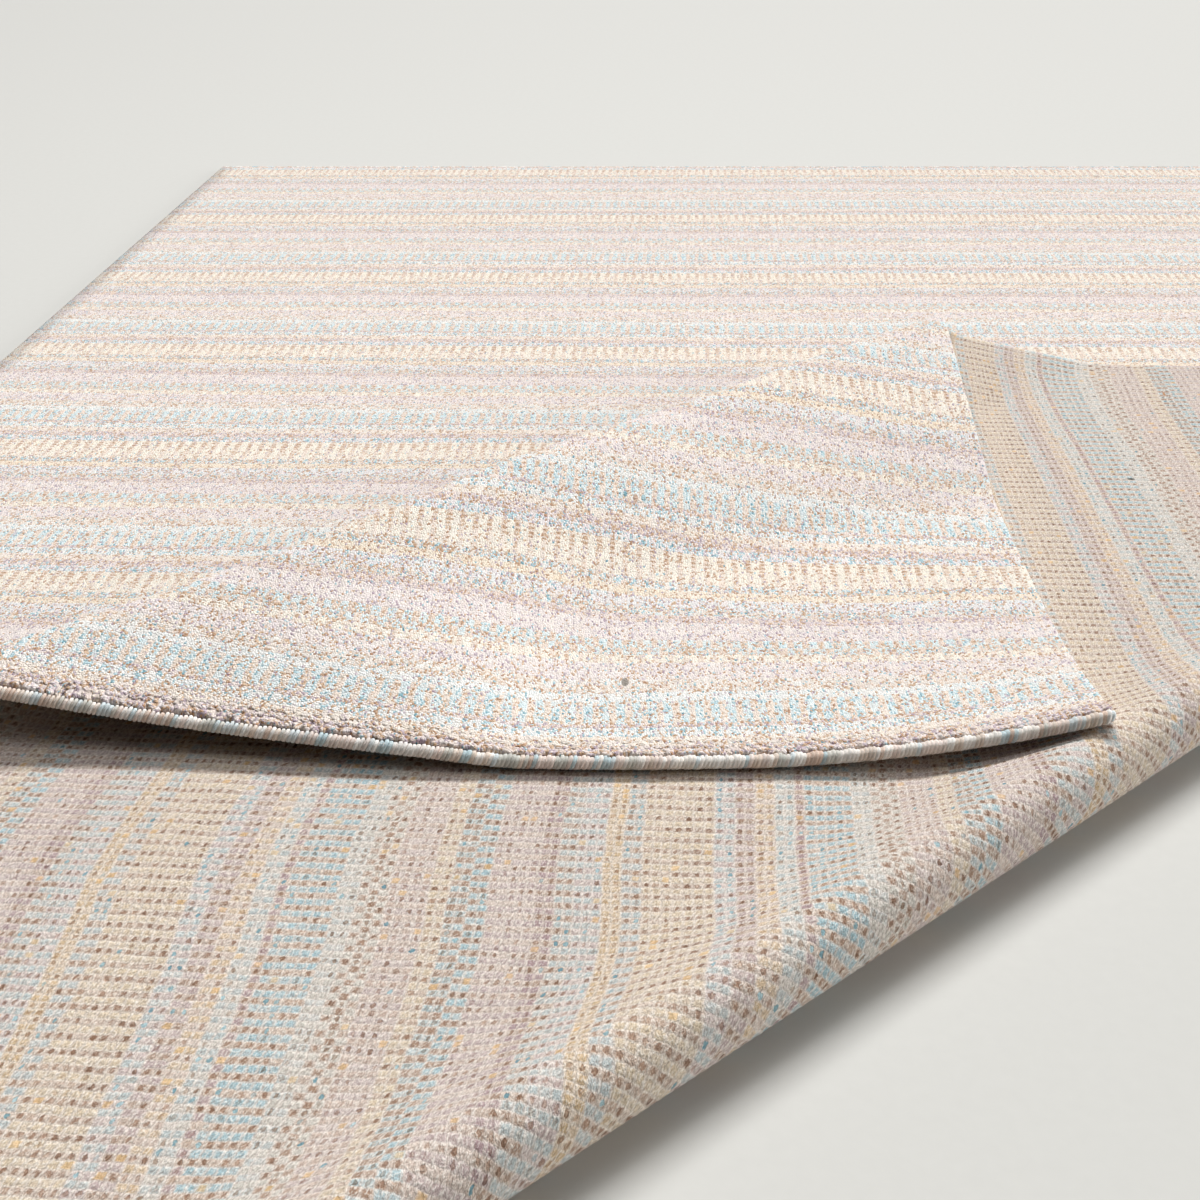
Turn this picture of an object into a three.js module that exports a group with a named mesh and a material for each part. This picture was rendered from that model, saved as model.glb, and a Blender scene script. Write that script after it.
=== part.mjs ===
// A striped rug, 1.4 by 2 metres, lying front up. Its near right corner is turned over, so that the back
// shows, and the tip is turned back again, so that the front shows once more.
//
// Sizes are in millimetres and angles in degrees. The origin is on the floor under the rug's centre. X runs
// along the stripes to the right, Y runs up the rug from its near end, and Z is up.

import * as THREE from 'three';

// The cloth as it was made, lying flat
const WIDTH = 1400;
const LENGTH = 1974;
const THICKNESS = 6.8;

// The whipped edge of each end: yarn wound into a round cord, a hair's breadth from the cloth
const CORD_RADIUS = 3.6;
const CORD_GAP = 0.6;
const CORD_SIDES = 8;

// The folds run diagonally over the near right corner. Across is the distance from the rug's centre square
// to them, towards that corner, and along is the distance beside them, towards the far right.
const FOLD_ANGLE = 44.1;
const ROLL_LINE = 298.5;

// Height of the middle of the cloth where it lies on the floor, on itself, and on itself again
const FIRST_LAYER = THICKNESS / 2;
const SECOND_LAYER = 11.4;
const THIRD_LAYER = 19.4;

// The front roll, where the corner turns over, comes down behind the roll and settles with its back up
const ROLL_RADIUS = 13.9;
const ROLL_DIP = 25.2;
const SETTLE_RADIUS = 102;

// The ridge, where the cloth lifts, turns back over itself and comes down again with its front up
const LIFT_ANGLE = 16.7;
const LIFT_RADIUS = 68;
const RIDGE_RADIUS = 12.6;
const BROW_RADIUS = 52;

// The tip curls up over the front roll, from this far behind the roll's line
const TIP_START = 116;
const TIP_RADIUS = 316;

// The ridge is uneven. Each row gives, for one place along it, how far behind the roll's line the cloth
// starts to lift, how far it climbs, how steeply it comes down and how softly it meets the layer below.
const RIDGE_ROWS = [
  { along: -575, foot: 373, climb: 23, dip: 13.8, rest: 118 },
  { along: -405, foot: 327, climb: 53, dip: 10.1, rest: 129 },
  { along: -235, foot: 307, climb: 79, dip: 20.7, rest: 143 },
  { along: -65, foot: 329, climb: 64, dip: 14.6, rest: 137 },
  { along: 105, foot: 331, climb: 67, dip: 9.8, rest: 123 },
];

// Facets: strips round each bend, and columns from the near end to the right side
const STEPS = { roll: 14, settle: 5, lift: 3, ridge: 11, brow: 3, rest: 4, tip: 6, straight: 1 };
const COLUMNS = 14;

const COLOURS = { cloth: 0xd9cdc3, cord: 0xcfc4bb };

const radians = THREE.MathUtils.degToRad;
const ACROSS = new THREE.Vector2(Math.sin(radians(FOLD_ANGLE)), -Math.cos(radians(FOLD_ANGLE)));
const ALONG = new THREE.Vector2(Math.cos(radians(FOLD_ANGLE)), Math.sin(radians(FOLD_ANGLE)));
const CORNER = new THREE.Vector2(WIDTH / 2, -LENGTH / 2);

// Smooth values of one column of the ridge's table
function ridgeColumn(name) {
  const curve = new THREE.SplineCurve(RIDGE_ROWS.map((row) => new THREE.Vector2(row.along, row[name])));
  const first = RIDGE_ROWS[0].along;
  const span = RIDGE_ROWS[RIDGE_ROWS.length - 1].along - first;
  return (along) => curve.getPoint(THREE.MathUtils.clamp((along - first) / span, 0, 1)).y;
}

const ridge = {
  foot: ridgeColumn('foot'),
  climb: ridgeColumn('climb'),
  dip: ridgeColumn('dip'),
  rest: ridgeColumn('rest'),
};

function arc(name, radius, angle, direction) {
  return { length: radius * angle, turn: direction * angle, steps: STEPS[name] };
}

function straight(length) {
  return { length, turn: 0, steps: STEPS.straight };
}

// The cloth's way at one place along the folds, from the start of the front roll to the corner's tip: a row
// for each bend or run, with its length and how far it turns upwards
function bendsAt(along) {
  const rollDip = radians(ROLL_DIP);
  const lift = radians(LIFT_ANGLE);
  const dip = radians(ridge.dip(along));
  const climb = ridge.climb(along);
  const rest = ridge.rest(along);

  const rollBack = FIRST_LAYER + ROLL_RADIUS * (1 + Math.cos(rollDip));
  const settleDrop = SETTLE_RADIUS * (1 - Math.cos(rollDip));
  const slide = (rollBack - settleDrop - SECOND_LAYER) / Math.sin(rollDip);
  const settledAt = -(ROLL_RADIUS + SETTLE_RADIUS) * Math.sin(rollDip) - slide * Math.cos(rollDip);
  const liftAt = -ridge.foot(along);

  const liftedAt = liftAt - LIFT_RADIUS * Math.sin(lift) - climb * Math.cos(lift);
  const lifted = SECOND_LAYER + LIFT_RADIUS * (1 - Math.cos(lift)) + climb * Math.sin(lift);
  const crownAt = liftedAt + RIDGE_RADIUS * Math.sin(lift);
  const crown = lifted + RIDGE_RADIUS * (1 + Math.cos(lift));
  const softDrop = (BROW_RADIUS + rest) * (1 - Math.cos(dip));
  const slope = (crown - softDrop - THIRD_LAYER) / Math.sin(dip);
  const restedAt = crownAt + (BROW_RADIUS + rest) * Math.sin(dip) + slope * Math.cos(dip);

  const bends = [
    arc('roll', ROLL_RADIUS, Math.PI + rollDip, 1),
    straight(slide),
    arc('settle', SETTLE_RADIUS, rollDip, -1),
    straight(settledAt - liftAt),
    arc('lift', LIFT_RADIUS, lift, -1),
    straight(climb),
    arc('ridge', RIDGE_RADIUS, Math.PI - lift, -1),
    arc('brow', BROW_RADIUS, dip, -1),
    straight(slope),
    arc('rest', rest, dip, 1),
    straight(-TIP_START - restedAt),
  ];
  const used = bends.reduce((sum, bend) => sum + bend.length, 0);
  const tipLength = CORNER.dot(ACROSS) - ROLL_LINE - used;
  bends.push(arc('tip', TIP_RADIUS, tipLength / TIP_RADIUS, 1));
  return bends;
}

// Distances along the cloth, from the roll's line, at which its facets meet
function stationsAt(along) {
  const stations = [0];
  let start = 0;
  for (const { length, steps } of bendsAt(along)) {
    for (let step = 1; step <= steps; step += 1) {
      stations.push(start + (length * step) / steps);
    }
    start += length;
  }
  return stations;
}

const STATION_COUNT = stationsAt(0).length;

// Walks round the bends for a distance past the roll's line, behind which the cloth is flat on the floor
function walk(along, distance) {
  let across = ROLL_LINE + Math.min(distance, 0);
  let height = FIRST_LAYER;
  let heading = 0;
  let left = Math.max(distance, 0);
  for (const { length, turn } of bendsAt(along)) {
    const run = Math.min(left, length);
    const next = heading + (turn * run) / length;
    if (turn === 0) {
      across += run * Math.cos(heading);
      height += run * Math.sin(heading);
    } else {
      const radius = length / turn;
      across += radius * (Math.sin(next) - Math.sin(heading));
      height -= radius * (Math.cos(next) - Math.cos(heading));
    }
    heading = next;
    left -= run;
    if (left <= 0) break;
  }
  return { across, height, heading };
}

// Where a point of the flat cloth lies, and which way its front faces there
function laid(x, y) {
  const along = x * ALONG.x + y * ALONG.y;
  const distance = x * ACROSS.x + y * ACROSS.y - ROLL_LINE;
  const { across, height, heading } = walk(along, distance);
  const point = new THREE.Vector3(
    ACROSS.x * across + ALONG.x * along,
    ACROSS.y * across + ALONG.y * along,
    height,
  );
  const sine = Math.sin(heading);
  const cosine = Math.cos(heading);
  const front = new THREE.Vector3(-ACROSS.x * sine, -ACROSS.y * sine, cosine);
  const ahead = new THREE.Vector3(ACROSS.x * cosine, ACROSS.y * cosine, sine);
  return { point, front, ahead, heading };
}

// The flat point at a distance past the roll's line
function flatPoint(along, distance) {
  const across = ROLL_LINE + distance;
  return new THREE.Vector2(
    ACROSS.x * across + ALONG.x * along,
    ACROSS.y * across + ALONG.y * along,
  );
}

// Where one station crosses a straight line of the flat cloth, found by stepping towards it
function crossing(station, start, direction) {
  const point = start.clone();
  for (let round = 0; round < 12; round += 1) {
    const wanted = stationsAt(point.dot(ALONG))[station];
    const miss = point.dot(ACROSS) - ROLL_LINE - wanted;
    point.addScaledVector(direction, -miss / direction.dot(ACROSS));
  }
  return point;
}

const RIGHTWARDS = new THREE.Vector2(1, 0);
const FARWARDS = new THREE.Vector2(0, 1);

// Flat points of the cloth's facets: rows of stations past the roll's line, each from the near end to the
// right side, and the one point of the tip
function foldedRows() {
  const rows = [];
  for (let station = 0; station < STATION_COUNT - 1; station += 1) {
    const nearEnd = crossing(station, CORNER, RIGHTWARDS).dot(ALONG);
    const rightSide = crossing(station, CORNER, FARWARDS).dot(ALONG);
    const row = [];
    for (let column = 0; column <= COLUMNS; column += 1) {
      const along = THREE.MathUtils.lerp(nearEnd, rightSide, column / COLUMNS);
      row.push(flatPoint(along, stationsAt(along)[station]));
    }
    rows.push(row);
  }
  return rows;
}

// Gives a facetted surface its thickness: a front, a back and a wall round the open edges
function thicken(flatPoints, triangles, thickness) {
  const places = flatPoints.map((flat) => laid(flat.x, flat.y));
  const side = (sign) => places.map(({ point, front }) => (
    point.clone().addScaledVector(front, (sign * thickness) / 2)));
  const positions = [...side(1), ...side(-1)].flatMap((corner) => corner.toArray());
  const back = places.length;

  const faces = [];
  const openEdges = new Map();
  for (const [a, b, c] of triangles) {
    faces.push(a, b, c, back + a, back + c, back + b);
    for (const [from, to] of [[a, b], [b, c], [c, a]]) {
      if (!openEdges.delete(`${to} ${from}`)) openEdges.set(`${from} ${to}`, [from, to]);
    }
  }
  for (const [from, to] of openEdges.values()) {
    faces.push(from, back + from, back + to, from, back + to, to);
  }
  return closedGeometry(positions, faces);
}

function closedGeometry(positions, faces) {
  const geometry = new THREE.BufferGeometry();
  geometry.setAttribute('position', new THREE.Float32BufferAttribute(positions, 3));
  geometry.setIndex(faces);
  geometry.computeVertexNormals();
  return geometry;
}

// The woven cloth: the flat part as a fan from its far left corner, then the strips of the folds
function clothGeometry() {
  const rows = foldedRows();
  const width = COLUMNS + 1;
  const points = rows.flat();
  const at = (station, column) => station * width + column;
  const triangles = [];
  for (let station = 0; station < rows.length - 1; station += 1) {
    for (let column = 0; column < COLUMNS; column += 1) {
      const corners = [
        at(station, column),
        at(station + 1, column),
        at(station + 1, column + 1),
        at(station, column + 1),
      ];
      triangles.push([corners[0], corners[1], corners[2]], [corners[0], corners[2], corners[3]]);
    }
  }

  const tip = points.push(CORNER) - 1;
  for (let column = 0; column < COLUMNS; column += 1) {
    triangles.push([at(rows.length - 1, column), tip, at(rows.length - 1, column + 1)]);
  }

  const farLeft = points.push(new THREE.Vector2(-WIDTH / 2, LENGTH / 2)) - 1;
  const farRight = points.push(new THREE.Vector2(WIDTH / 2, LENGTH / 2)) - 1;
  const nearLeft = points.push(new THREE.Vector2(-WIDTH / 2, -LENGTH / 2)) - 1;
  const rollLine = Array.from({ length: width }, (_, column) => column);
  const outline = [nearLeft, ...rollLine, farRight];
  for (let corner = 0; corner < outline.length - 1; corner += 1) {
    triangles.push([farLeft, outline[corner], outline[corner + 1]]);
  }
  return thicken(points, triangles, THICKNESS);
}

// A round cord of wound yarn beside one end of the cloth. It follows the folds, and where the front is up it
// sits a little high, so that it rests on the floor and not in it.
function cordGeometry(outwards, alongEnd) {
  const corner = CORD_RADIUS / Math.cos(Math.PI / CORD_SIDES);
  const positions = [];
  for (const x of alongEnd) {
    const { point, front, ahead, heading } = laid(x, (outwards * LENGTH) / 2);
    const beside = new THREE.Vector3(ALONG.x, ALONG.y, 0);
    const sideways = ahead.multiplyScalar(outwards * ACROSS.y).addScaledVector(beside, outwards * ALONG.y);
    const high = ((CORD_RADIUS - FIRST_LAYER) * (1 + Math.cos(heading))) / 2;
    const centre = point.addScaledVector(sideways, CORD_GAP + CORD_RADIUS).addScaledVector(front, high);
    for (let side = 0; side < CORD_SIDES; side += 1) {
      const angle = ((side + 0.5) * 2 * Math.PI) / CORD_SIDES;
      const ring = centre.clone();
      ring.addScaledVector(sideways, corner * Math.cos(angle));
      ring.addScaledVector(front, corner * Math.sin(angle));
      positions.push(...ring.toArray());
    }
  }

  const at = (ring, side) => ring * CORD_SIDES + (side % CORD_SIDES);
  const last = alongEnd.length - 1;
  const faces = [];
  const facet = (a, b, c) => (outwards > 0 ? faces.push(a, b, c) : faces.push(a, c, b));
  for (let side = 0; side < CORD_SIDES; side += 1) {
    for (let ring = 0; ring < last; ring += 1) {
      facet(at(ring, side), at(ring, side + 1), at(ring + 1, side + 1));
      facet(at(ring, side), at(ring + 1, side + 1), at(ring + 1, side));
    }
  }
  for (let side = 1; side < CORD_SIDES - 1; side += 1) {
    facet(at(0, 0), at(0, side + 1), at(0, side));
    facet(at(last, 0), at(last, side), at(last, side + 1));
  }
  return closedGeometry(positions, faces);
}

// The near end's cord has a ring wherever the facets of the cloth's folds meet that end
function nearEndRings() {
  const rings = [-WIDTH / 2];
  for (let station = 0; station < STATION_COUNT - 1; station += 1) {
    rings.push(crossing(station, CORNER, RIGHTWARDS).x);
  }
  rings.push(WIDTH / 2);
  return rings;
}

function piece(name, geometry, colour, roughness) {
  const material = new THREE.MeshStandardMaterial({ color: colour, roughness, metalness: 0 });
  const mesh = new THREE.Mesh(geometry, material);
  mesh.name = name;
  return mesh;
}

const rug = new THREE.Group();
rug.add(piece('rug_cloth', clothGeometry(), COLOURS.cloth, 0.95));
rug.add(piece('near_end_cord', cordGeometry(-1, nearEndRings()), COLOURS.cord, 0.9));
rug.add(piece('far_end_cord', cordGeometry(1, [-WIDTH / 2, WIDTH / 2]), COLOURS.cord, 0.9));

export default rug;
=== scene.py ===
# %% [markdown]
# # A striped, hand-woven rug, folded to show both of its faces
#
# The rug measures 1.4 by 2 metres. It lies front up, its near right corner is turned over so that the back
# shows, and the tip of that corner is turned back once more, so that the looped front shows again. The solids
# of the rug come from a CAD model. This lesson dresses them: it makes a finely divided cloth of the same
# shape, weaves the stripes on it with shader nodes, and lets Geometry Nodes wind the yarn of its ends, raise
# the tufts beside its near end and lay the turns of its sides.
#
# Lengths are in metres. X runs along the stripes, Y runs up the rug from its near end, and Z is up.

import math

import bmesh
import bpy
import numpy as np
from mathutils import Matrix, Vector


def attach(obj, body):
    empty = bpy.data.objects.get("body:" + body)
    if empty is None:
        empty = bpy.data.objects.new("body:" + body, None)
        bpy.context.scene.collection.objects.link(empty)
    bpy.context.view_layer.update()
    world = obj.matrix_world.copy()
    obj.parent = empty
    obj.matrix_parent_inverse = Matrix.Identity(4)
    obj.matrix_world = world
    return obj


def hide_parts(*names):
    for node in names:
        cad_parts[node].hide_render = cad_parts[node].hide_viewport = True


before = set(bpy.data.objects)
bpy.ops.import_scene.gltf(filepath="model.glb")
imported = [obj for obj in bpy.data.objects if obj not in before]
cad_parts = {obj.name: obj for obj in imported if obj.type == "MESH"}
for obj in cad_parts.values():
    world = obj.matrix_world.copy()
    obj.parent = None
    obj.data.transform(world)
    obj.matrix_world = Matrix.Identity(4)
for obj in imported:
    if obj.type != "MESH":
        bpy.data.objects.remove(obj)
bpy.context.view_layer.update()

# %% [markdown]
# ## The sizes of the cloth and of its folds
#
# A real rug bends, but it hardly stretches. So the whole shape is one rule: a point of the flat cloth is
# carried round a row of bends, each with a length and a turn, and straight runs between them. The bends run
# diagonally over the corner. Only the ridge, where the cloth turns back for the second time, changes along
# the fold, and a small table says how. The numbers are the CAD model's own, so both agree.

# %% Sizes of the cloth and the folds
WIDTH, LENGTH, THICKNESS = 1.400, 1.974, 0.0068
CORD_RADIUS, CORD_GAP = 0.0036, 0.0006
FOLD_ANGLE, ROLL_LINE = math.radians(44.1), 0.2985  # how the folds run, and where the first one starts
FIRST_LAYER, SECOND_LAYER, THIRD_LAYER = 0.0034, 0.0114, 0.0194  # heights of the cloth's middle
ROLL_RADIUS, ROLL_DIP, SETTLE_RADIUS = 0.0139, math.radians(25.2), 0.102
LIFT_ANGLE, LIFT_RADIUS = math.radians(16.7), 0.068
RIDGE_RADIUS, BROW_RADIUS = 0.0126, 0.052
TIP_START, TIP_RADIUS = 0.116, 0.316
RIDGE_FROM, RIDGE_TO = -0.575, 0.105  # the stretch along the fold that the table divides evenly
RIDGE = {
    "foot": (0.373, 0.327, 0.307, 0.329, 0.331),
    "climb": (0.023, 0.053, 0.079, 0.064, 0.067),
    "dip": (13.8, 10.1, 20.7, 14.6, 9.8),
    "rest": (0.118, 0.129, 0.143, 0.137, 0.123),
}
ACROSS = np.array([math.sin(FOLD_ANGLE), -math.cos(FOLD_ANGLE)])
ALONG = np.array([math.cos(FOLD_ANGLE), math.sin(FOLD_ANGLE)])


def ridge_value(name, along):
    """One column of the ridge's table, as a smooth curve through its five values."""
    row = np.array(RIDGE[name])
    place = np.clip((along - RIDGE_FROM) / (RIDGE_TO - RIDGE_FROM), 0, 1) * (len(row) - 1)
    k = np.minimum(np.floor(place).astype(int), len(row) - 2)
    part = place - k
    here, ahead = row[k], row[k + 1]
    before = row[np.maximum(k - 1, 0)]
    beyond = row[np.minimum(k + 2, len(row) - 1)]
    leaving, arriving = (ahead - before) / 2, (beyond - here) / 2
    return (
        (2 * here - 2 * ahead + leaving + arriving) * part**3
        + (-3 * here + 3 * ahead - 2 * leaving - arriving) * part**2
        + leaving * part
        + here
    )


print("Cloth of", WIDTH, "by", LENGTH, "m, folds at", round(math.degrees(FOLD_ANGLE), 1), "degrees")

# %% [markdown]
# ## The rule that lays the cloth
#
# A cloth simulation could fold the rug, but it wouldn't end in just the folds of the CAD model. So the row of
# bends is worked out from the heights of the three layers, and a point simply walks along it: round an arc
# where the cloth turns, and straight on where it doesn't.

# %% Lay points on the folded cloth


def bends(along):
    """The cloth's way past the front roll: pairs of a length and the angle that it turns upwards."""
    zero = 0 * along
    dip = np.radians(ridge_value("dip", along))
    foot, climb, rest = (ridge_value(name, along) for name in ("foot", "climb", "rest"))
    back = FIRST_LAYER + ROLL_RADIUS * (1 + math.cos(ROLL_DIP))
    drop = SETTLE_RADIUS * (1 - math.cos(ROLL_DIP))
    slide = (back - drop - SECOND_LAYER) / math.sin(ROLL_DIP)
    settled = -(ROLL_RADIUS + SETTLE_RADIUS) * math.sin(ROLL_DIP) - slide * math.cos(ROLL_DIP)
    lifted_at = -foot - LIFT_RADIUS * math.sin(LIFT_ANGLE) - climb * math.cos(LIFT_ANGLE)
    lifted = SECOND_LAYER + LIFT_RADIUS * (1 - math.cos(LIFT_ANGLE)) + climb * math.sin(LIFT_ANGLE)
    crown_at = lifted_at + RIDGE_RADIUS * math.sin(LIFT_ANGLE)
    crown = lifted + RIDGE_RADIUS * (1 + math.cos(LIFT_ANGLE))
    slope = (crown - (BROW_RADIUS + rest) * (1 - np.cos(dip)) - THIRD_LAYER) / np.sin(dip)
    rested = crown_at + (BROW_RADIUS + rest) * np.sin(dip) + slope * np.cos(dip)
    return [
        (ROLL_RADIUS * (math.pi + ROLL_DIP) + zero, math.pi + ROLL_DIP + zero),
        (slide + zero, zero),
        (SETTLE_RADIUS * ROLL_DIP + zero, -ROLL_DIP + zero),
        (settled + foot, zero),
        (LIFT_RADIUS * LIFT_ANGLE + zero, -LIFT_ANGLE + zero),
        (climb, zero),
        (RIDGE_RADIUS * (math.pi - LIFT_ANGLE) + zero, LIFT_ANGLE - math.pi + zero),
        (BROW_RADIUS * dip, -dip),
        (slope, zero),
        (rest * dip, dip),
        (-TIP_START - rested, zero),
        (10 + zero, 10 / TIP_RADIUS + zero),
    ]


def past_roll(x, y):
    """Distance of flat points past the line where the front roll starts, and along the folds."""
    return x * ACROSS[0] + y * ACROSS[1] - ROLL_LINE, x * ALONG[0] + y * ALONG[1]


def ridge_start(along):
    """Distance past the roll at which the cloth reaches the ridge."""
    return sum(length for length, _ in bends(along)[:6])


def laid(x, y):
    """Where flat points of the cloth lie: their places, and the directions of its front and of the way on."""
    x, y = np.broadcast_arrays(np.asarray(x, float), np.asarray(y, float))
    distance, along = past_roll(x, y)
    across = ROLL_LINE + np.minimum(distance, 0)
    height, heading = FIRST_LAYER + 0 * along, 0 * along
    left = np.maximum(distance, 0)
    for length, turn in bends(along):
        run = np.minimum(left, length)
        after = heading + turn * run / length
        curved = np.abs(turn) > 1e-9
        rate = np.where(curved, turn / length, 1)
        across = across + np.where(curved, (np.sin(after) - np.sin(heading)) / rate, run * np.cos(heading))
        height = height + np.where(curved, (np.cos(heading) - np.cos(after)) / rate, run * np.sin(heading))
        heading, left = after, left - run
    place = np.stack([*(ACROSS[k] * across + ALONG[k] * along for k in (0, 1)), height], -1)
    sine, cosine = np.sin(heading), np.cos(heading)
    front = np.stack([-ACROSS[0] * sine, -ACROSS[1] * sine, cosine], -1)
    ahead = np.stack([ACROSS[0] * cosine, ACROSS[1] * cosine, sine], -1)
    return place, front, ahead


def rug_directions(ahead):
    """Which way the flat cloth's X and Y run where it is laid."""
    beside = np.array([*ALONG, 0.0])
    return ACROSS[0] * ahead + ALONG[0] * beside, ACROSS[1] * ahead + ALONG[1] * beside


print("Height of the corner's tip:", round(float(laid(WIDTH / 2, -LENGTH / 2)[0][2]), 4))

# %% [markdown]
# ## The stitches
#
# The cloth has 329 columns of stitches across and 467 rows up, each stitch 4.25 by 4.23 mm. Columns go in
# pairs, an A and a B, in two colours at a time, and that is what draws the small ladders and checks.
# Everything that follows counts in these stitches: the mesh, the tufts and the colours. Hand weaving is never
# quite straight, so a table of soft bumps says where the rows have crept up or down. Each bump is a place,
# how far it reaches and how far the rows have crept there, as on the real rug.

# %% Sizes of the stitches
COLUMNS, ROWS = 329, 467
STITCH_X, STITCH_Y = WIDTH / COLUMNS, LENGTH / ROWS
REPEAT_ROWS = 52
LADDER_Y = 0.07965  # the middle of one cream ladder, in flat metres up from the rug's middle
CREEP = [  # where the rows have crept: place, reach to the side and up, and how far up, all in millimetres
    (650, -960, 70, 80, 5.7),
    (700, -920, 70, 150, 4.7),
    (200, -900, 70, 150, 7.1),
    (550, -840, 70, 45, -6.0),
    (0, -840, 70, 150, -6.8),
    (600, -820, 70, 80, -4.2),
    (50, -820, 300, 45, -4.6),
    (650, -720, 140, 45, 4.5),
    (600, -640, 140, 80, 5.2),
    (0, -600, 300, 45, -4.1),
    (600, -560, 140, 45, 7.2),
    (0, -460, 300, 80, 4.6),
    (550, -340, 300, 80, -12.7),
    (600, -320, 70, 80, -4.8),
    (-450, -120, 140, 45, -4.3),
    (-550, -20, 300, 150, -5.0),
    (-450, 40, 300, 45, -6.6),
    (-400, 180, 300, 150, -6.2),
    (-250, 260, 300, 45, -4.5),
    (-50, 300, 140, 150, -4.6),
    (-300, 460, 300, 150, -4.4),
    (-650, 480, 140, 150, -5.9),
    (0, 500, 300, 45, -3.2),
    (200, 720, 300, 150, 5.9),
    (-200, 592, 600, 36, 7.0),
    (680, -350, 45, 50, -8.0),
    (-50, -600, 45, 150, 3.5),
    (650, -620, 50, 40, -3.5),
    (420, -890, 30, 30, 4.0),
    (320, -915, 35, 30, -3.0),
]
NEAR_CREEP, NEAR_REACH = 0.0075, 0.16  # all rows are pushed up beside the near end
SIDE_CREEP, SIDE_X, SIDE_Y = 0.010, 0.50, -0.72  # and pulled down past this x on the tip, round this y
SIDE_REACH_X, SIDE_REACH_Y = 0.15, 0.2
PAST_END = 0.007  # no row creeps further than this past the near end


def drift(x, y):
    """How far the rows have crept up the rug at a flat point."""
    crept = NEAR_CREEP * np.exp(-(y + LENGTH / 2) / NEAR_REACH)
    at_side = np.clip((x - SIDE_X) / SIDE_REACH_X, 0, 1.2) ** 2
    crept = crept - SIDE_CREEP * at_side * np.exp(-(((y - SIDE_Y) / SIDE_REACH_Y) ** 2))
    for at_x, at_y, reach_x, reach_y, up in CREEP:
        away = ((1000 * x - at_x) / reach_x) ** 2 + ((1000 * y - at_y) / reach_y) ** 2
        crept = crept + 0.001 * up * np.exp(-away)
    return np.minimum(crept, y + LENGTH / 2 + PAST_END)


print("Stitch", round(STITCH_X * 1000, 3), "by", round(STITCH_Y * 1000, 3), "mm, in rows of", COLUMNS)

# %% [markdown]
# ## The cloth
#
# A cloth could be one evenly divided grid, but half of this one lies flat on the floor. So it is a patchwork
# of squares that share a lattice of half stitches: small ones on the turned tip and round the bends, and
# large ones where nothing happens. Each face of the cloth has a patchwork of its own, and a wall of triangles
# joins the two round the edge, so the piece is closed like a real thickness of cloth.

# %% Choose the squares of each face
LATTICE = (2 * COLUMNS, 2 * ROWS)
LARGEST = 32
# each region's border, in metres past the roll or past the ridge, and its largest square, in half stitches
FRONT_GRID = {"floor": (-0.01, 8), "roll": (0.06, 2), "tip": (0.002, 1), "ridge": (-0.03, 2), "between": 4}
BACK_GRID = {"floor": (-0.02, 16), "roll": (0.06, 2), "tip": (0.05, 8), "ridge": (-0.01, 2), "between": 4}


def flat_of(i, j):
    """Flat position of a lattice point."""
    return i * STITCH_X / 2 - WIDTH / 2, j * STITCH_Y / 2 - LENGTH / 2


def wanted(grid, x, y):
    """Largest square that a grid allows at flat points."""
    distance, along = past_roll(x, y)
    past_ridge = distance - ridge_start(along)
    inside = [distance < grid[name][0] for name in ("floor", "roll")]
    inside += [past_ridge > grid[name][0] for name in ("tip", "ridge")]
    return np.select(inside, [grid[name][1] for name in ("floor", "roll", "tip", "ridge")], grid["between"])


def squares(grid):
    """Splits large squares until none is larger than wanted: rows of left, bottom, right and top."""
    size = LARGEST
    i, j = np.meshgrid(np.arange(0, LATTICE[0], size), np.arange(0, LATTICE[1], size), indexing="ij")
    i, j = i.ravel(), j.ravel()
    done = []
    while len(i):
        spots = [(i + a * size, j + b * size) for a in (0, 0.5, 1) for b in (0, 0.5, 1)]
        small = np.min([wanted(grid, *flat_of(a, b)) for a, b in spots], 0) < size
        keep = ~small | (size == 1)
        left, bottom = i[keep], j[keep]
        right, top = np.minimum(left + size, LATTICE[0]), np.minimum(bottom + size, LATTICE[1])
        done.append(np.stack([left, bottom, right, top], 1))
        i, j = i[~keep], j[~keep]
        size //= 2
        i = np.concatenate([i, i + size, i, i + size])
        j = np.concatenate([j, j, j + size, j + size])
        inside = (i < LATTICE[0]) & (j < LATTICE[1])
        i, j = i[inside], j[inside]
    return np.concatenate(done)


front_squares, back_squares = squares(FRONT_GRID), squares(BACK_GRID)
print("Squares:", len(front_squares), "on the front and", len(back_squares), "on the back")

# %% [markdown]
# ## From squares to polygons
#
# Where a large square meets two small ones, a corner of theirs lies on its side. Left out of its outline, it
# would open a slit as soon as the cloth bends. So each square's outline runs through every used corner on it.

# %% Turn the squares into polygons that share every corner


def polygons_of(cells):
    """Corners of the lattice that are used, and each square's outline through all of those on it."""
    used = np.zeros((LATTICE[0] + 1, LATTICE[1] + 1), bool)
    for a, b in ((0, 1), (2, 1), (2, 3), (0, 3)):
        used[cells[:, a], cells[:, b]] = True
    number = np.full(used.shape, -1)
    number[used] = np.arange(used.sum())
    outlines = []
    for left, bottom, right, top in cells.tolist():
        if right - left == 1 and top - bottom == 1:
            outlines.append(number[[left, right, right, left], [bottom, bottom, top, top]].tolist())
            continue
        ring = np.concatenate([
            number[left:right, bottom],
            number[right, bottom:top],
            number[right:left:-1, top],
            number[left, top:bottom:-1],
        ])
        outlines.append(ring[ring >= 0].tolist())
    return used, number, outlines


def rim_of(number):
    """Numbers of the corners round the edge, with how far round each is."""
    i_end, j_end = LATTICE
    near, right = number[:i_end, 0], number[i_end, :j_end]
    far, left = number[i_end:0:-1, j_end], number[0, j_end:0:-1]
    ring = np.concatenate([near, right, far, left])
    at = np.flatnonzero(ring >= 0)
    return ring[at], at


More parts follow.
